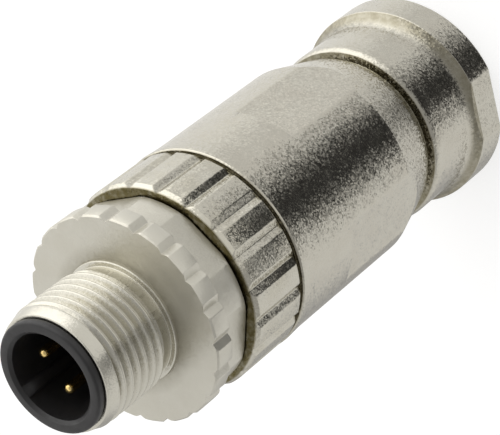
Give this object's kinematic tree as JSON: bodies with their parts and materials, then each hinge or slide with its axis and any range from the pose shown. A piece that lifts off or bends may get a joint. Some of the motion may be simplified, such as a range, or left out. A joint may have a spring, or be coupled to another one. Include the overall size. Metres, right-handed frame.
{
  "type": "circular cable connector",
  "caption": "Straight round male cable connector with screw coupling nut, four-pin socket, fluted metal housing, wrench flats and a flared cable clamp nut.",
  "frame": {"origin": "centre of the cable end's face, which the connector stands on", "axes": "+Z along the connector's axis towards the mating end; +Y is the side of contact 2, +X the side of contact 1"},
  "size_m": [0.0205, 0.0204, 0.0562],
  "materials": {
    "smooth_nickel": "smooth satin nickel plate on brass",
    "blasted_nickel": "grainy matt nickel plate on diecast metal",
    "black_polyamide": "moulded, fine satin",
    "grey_polyamide": "moulded, fine satin",
    "gold_plate": "gold plated, bright",
    "zinc_steel": "zinc plated",
    "spring_steel": "bright spring steel",
    "seal_rubber": "soft matt rubber"
  },
  "bodies": {
    "front_body": {"front_housing": "blasted_nickel", "contact_carrier": "black_polyamide", "terminal_block": "black_polyamide", "contact_pin_1": "gold_plate", "contact_pin_2": "gold_plate", "contact_pin_3": "gold_plate", "contact_pin_4": "gold_plate", "carrier_seal": "seal_rubber", "sleeve_o_ring": "seal_rubber", "insulating_sleeve": "grey_polyamide", "nut_retaining_ring": "spring_steel"},
    "coupling_nut": {"coupling_nut": "smooth_nickel"},
    "terminal_screw_1": {"terminal_screw_1": "zinc_steel"},
    "terminal_screw_2": {"terminal_screw_2": "zinc_steel"},
    "terminal_screw_3": {"terminal_screw_3": "zinc_steel"},
    "terminal_screw_4": {"terminal_screw_4": "zinc_steel"},
    "shield_ring": {"shield_ring": "smooth_nickel"},
    "rear_sleeve": {"rear_sleeve": "blasted_nickel"},
    "clamp_cage": {"clamp_cage": "grey_polyamide", "cable_seal": "seal_rubber"},
    "clamp_nut": {"clamp_nut": "blasted_nickel"}
  },
  "joints": [
    {"name": "coupling_nut_spin", "type": "hinge", "parent": "front_body", "child": "coupling_nut", "pos_m": [0, 0, 0.043], "axis": [0, 0, 1], "continuous": true},
    {"name": "sleeve_travel", "type": "slide", "parent": "front_body", "child": "shield_ring", "axis": [0, 0, -1], "range_m": [0, 0.004]},
    {"name": "sleeve_turn", "type": "hinge", "parent": "shield_ring", "child": "rear_sleeve", "pos_m": [0, 0, 0.022], "axis": [0, 0, -1], "range_deg": [0, 1440]},
    {"name": "clamp_travel", "type": "slide", "parent": "rear_sleeve", "child": "clamp_cage", "axis": [0, 0, -1], "range_m": [0, 0.004]},
    {"name": "clamp_turn", "type": "hinge", "parent": "clamp_cage", "child": "clamp_nut", "pos_m": [0, 0, 0.008], "axis": [0, 0, -1], "range_deg": [0, 960]},
    {"name": "terminal_screw_1_turn", "type": "hinge", "parent": "front_body", "child": "terminal_screw_1", "pos_m": [0.0048, 0, 0.027], "axis": [1, 0, 0], "range_deg": [0, 360]},
    {"name": "terminal_screw_2_turn", "type": "hinge", "parent": "front_body", "child": "terminal_screw_2", "pos_m": [0, 0.0048, 0.027], "axis": [0, 1, 0], "range_deg": [0, 360]},
    {"name": "terminal_screw_3_turn", "type": "hinge", "parent": "front_body", "child": "terminal_screw_3", "pos_m": [-0.0048, 0, 0.027], "axis": [-1, 0, 0], "range_deg": [0, 360]},
    {"name": "terminal_screw_4_turn", "type": "hinge", "parent": "front_body", "child": "terminal_screw_4", "pos_m": [0, -0.0048, 0.027], "axis": [0, -1, 0], "range_deg": [0, 360]}
  ],
  "couplings": [
    {"joint": "sleeve_turn", "follows": "sleeve_travel", "rad_per_m": 6283.2},
    {"joint": "clamp_turn", "follows": "clamp_travel", "rad_per_m": 4188.8}
  ]
}
